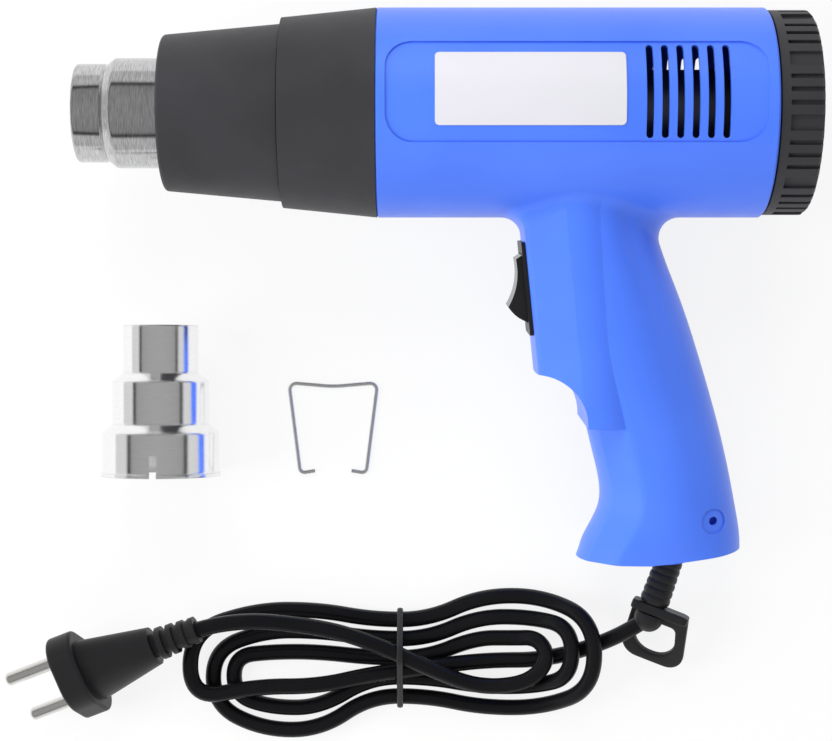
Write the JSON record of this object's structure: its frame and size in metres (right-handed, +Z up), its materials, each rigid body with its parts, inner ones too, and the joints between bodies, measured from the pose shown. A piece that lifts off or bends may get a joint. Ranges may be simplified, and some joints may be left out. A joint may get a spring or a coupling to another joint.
{
  "type": "embossing heat tool",
  "caption": "Corded hot-air tool with a pistol grip, metal outlet, ribbed rear cap, rocker switch and hanging eye, with a stepped reducer, wire stand and tied cord.",
  "frame": {"origin": "on the table, under the middle of the tool and its loose accessories, measured without the cord, plug and tie", "axes": "+X runs from the outlet to the rear cap, +Y from the grip's foot to the barrel, and +Z up from the table, out of the tool's left side"},
  "size_m": [0.2814, 0.2599, 0.0722],
  "materials": {
    "housing_shell": "fine satin moulded plastic, bright blue",
    "zinc_screws": "zinc plated",
    "label": "blank white plate",
    "black_plastic": "satin moulded plastic",
    "polished_tube": "polished steel",
    "steel_sheet": "bright steel",
    "mica": "pressed mica",
    "ceramic": "unglazed ceramic",
    "heating_wire": "heating wire",
    "inner_plastic": "moulded plastic",
    "magnet": "ferrite",
    "switch_plastic": "moulded plastic",
    "rocker_plastic": "glossy moulded plastic",
    "brass_parts": "bright brass",
    "board": "circuit board",
    "capacitor_case": "moulded case",
    "wire_cover": "wire covering",
    "black_rubber": "moulded rubber",
    "cord_cover": "smooth satin cord covering",
    "tie_wire": "plastic-covered tie",
    "plug_rubber": "moulded satin rubber",
    "nickel_pins": "nickel plated",
    "stand_wire": "bright drawn wire"
  },
  "bodies": {
    "housing": {"left_housing": "housing_shell", "right_housing": "housing_shell", "housing_screws": "zinc_screws", "label_plate": "label", "front_collar": "black_plastic", "outlet_tube": "polished_tube", "outlet_baffle": "steel_sheet", "mica_sleeve": "mica", "heater_former": "ceramic", "heating_coils": "heating_wire", "heater_flange": "mica", "thermal_cutout": "steel_sheet", "air_duct": "steel_sheet", "fan_shroud": "inner_plastic", "motor_case": "steel_sheet", "motor_magnets": "magnet", "motor_end_cap": "inner_plastic", "intake_screen": "steel_sheet", "switch_body": "switch_plastic", "switch_terminals": "brass_parts", "rectifier_board": "board", "diodes": "inner_plastic", "capacitor": "capacitor_case", "lead_wires": "wire_cover", "cord_clamp": "inner_plastic", "clamp_screws": "zinc_screws", "strain_relief": "black_rubber", "cord_core": "cord_cover", "cord_lead": "cord_cover", "cord_hank": "cord_cover", "cord_tail": "cord_cover", "cord_tie": "tie_wire", "plug_body": "plug_rubber", "plug_pins": "nickel_pins"},
    "fan": {"fan_impeller": "inner_plastic", "motor_rotor": "steel_sheet"},
    "rear_cap": {"rear_cap": "black_plastic"},
    "guard": {"nozzle_guard": "black_plastic"},
    "rocker": {"switch_rocker": "rocker_plastic"},
    "hang_loop": {"hang_loop": "black_plastic"},
    "reducer": {"reducer_nozzle": "polished_tube"},
    "stand": {"wire_stand": "stand_wire"}
  },
  "joints": [
    {"name": "fan_spin", "type": "hinge", "parent": "housing", "child": "fan", "pos_m": [0.06405, 0.08075, 0.0361], "axis": [1, 0, 0], "continuous": true},
    {"name": "rear_cap_turn", "type": "hinge", "parent": "housing", "child": "rear_cap", "pos_m": [0.11705, 0.08075, 0.0361], "axis": [1, 0, 0], "range_deg": [0, 45]},
    {"name": "guard_turn", "type": "hinge", "parent": "housing", "child": "guard", "pos_m": [-0.06595, 0.08075, 0.0361], "axis": [-1, 0, 0], "range_deg": [0, 25]},
    {"name": "switch_rock", "type": "hinge", "parent": "housing", "child": "rocker", "pos_m": [0.03397, 0.021, 0.02991], "axis": [0, -0.103, 0.9947], "range_deg": [0, 29.2]},
    {"name": "loop_swivel", "type": "hinge", "parent": "housing", "child": "hang_loop", "pos_m": [0.0747, -0.09699, 0.01769], "axis": [-0.3223, -0.9416, -0.0975], "range_deg": [0, 90]},
    {"name": "reducer_lift", "type": "slide", "parent": "housing", "child": "reducer", "axis": [0, 0, 1], "range_m": [0, 0.06]},
    {"name": "stand_lift", "type": "slide", "parent": "housing", "child": "stand", "axis": [0, 0, 1], "range_m": [0, 0.06]}
  ]
}
